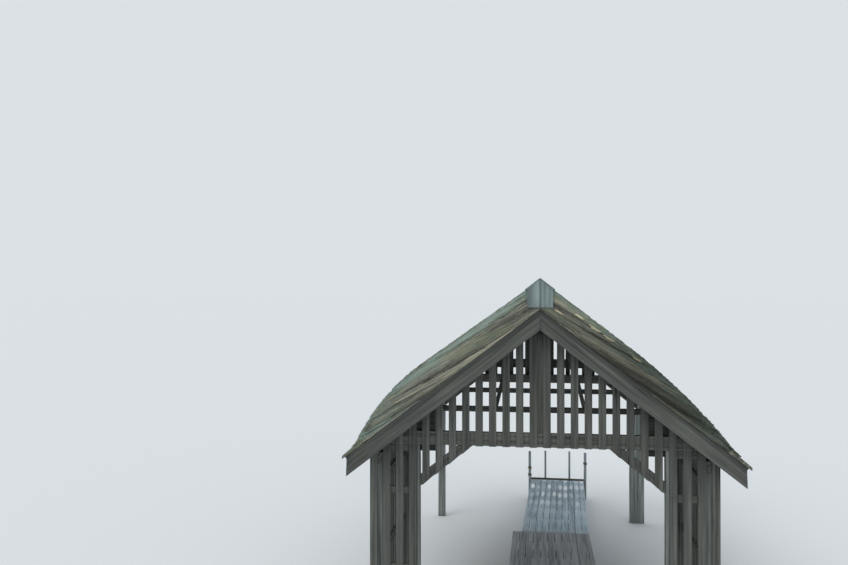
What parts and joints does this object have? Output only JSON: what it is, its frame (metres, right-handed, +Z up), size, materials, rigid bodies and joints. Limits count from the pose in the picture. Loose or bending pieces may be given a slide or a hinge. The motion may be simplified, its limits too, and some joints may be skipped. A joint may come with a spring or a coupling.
{
  "type": "thatched boathouse",
  "caption": "Open-sided timber boathouse with a thatched gable roof, slatted gables over openings with sloping corners, and a plank landing stage inside that runs out to a ladder.",
  "frame": {"origin": "on the water line, under the middle of the whole box of the building and its landing stage", "axes": "+Z up, +Y from the land gable to the lake end, +X to the right seen from the land"},
  "size_m": [4.71, 9.0564, 4.7783],
  "materials": {
    "post_timber": "weathered grey-brown sawn softwood",
    "frame_timber": "dark weathered sawn softwood",
    "batten_timber": "weathered sawn softwood",
    "thatch": "old reed thatch grown over with moss",
    "ridge_boards": "silver-grey weathered boards",
    "barge_timber": "dark weathered sawn softwood",
    "slat_timber": "weathered sawn softwood slats",
    "deck_inner": "worn grey-brown deck boards",
    "deck_outer": "worn light grey deck boards",
    "bearer_timber": "rough weathered softwood",
    "pile_timber": "round poles, dark at the water line",
    "mooring_timber": "round weathered poles",
    "ladder_timber": "weathered sawn softwood"
  },
  "bodies": {
    "root": {"post_front_left": "post_timber", "post_front_right": "post_timber", "post_middle_left": "post_timber", "post_middle_right": "post_timber", "post_back_left": "post_timber", "post_back_right": "post_timber", "jamb_post_left": "post_timber", "jamb_post_right": "post_timber", "wall_plate_left": "frame_timber", "wall_plate_right": "frame_timber", "ridge_beam": "frame_timber", "tie_beam_front": "frame_timber", "tie_beam_back": "frame_timber", "roof_frame_middle": "frame_timber", "roof_frame_rear": "frame_timber", "king_post_front": "frame_timber", "king_post_back": "frame_timber", "rafters_left": "frame_timber", "rafters_right": "frame_timber", "battens_left": "batten_timber", "battens_right": "batten_timber", "thatch_left": "thatch", "thatch_right": "thatch", "ridge_cap": "ridge_boards", "barge_board_front_left": "barge_timber", "barge_board_front_right": "barge_timber", "barge_board_back_left": "barge_timber", "barge_board_back_right": "barge_timber", "gable_lattice_front": "slat_timber", "gable_lattice_back": "slat_timber", "front_panel_left": "slat_timber", "front_panel_right": "slat_timber", "front_spandrel_left": "slat_timber", "front_spandrel_right": "slat_timber", "knee_brace_back_left": "frame_timber", "knee_brace_back_right": "frame_timber", "side_screen_left": "slat_timber", "side_screen_right": "slat_timber", "jetty_deck_inner": "deck_inner", "jetty_deck_outer": "deck_outer", "jetty_bearers": "bearer_timber", "jetty_piles": "pile_timber", "mooring_post_left": "mooring_timber", "mooring_post_right": "mooring_timber", "ladder": "ladder_timber"}
  },
  "joints": []
}
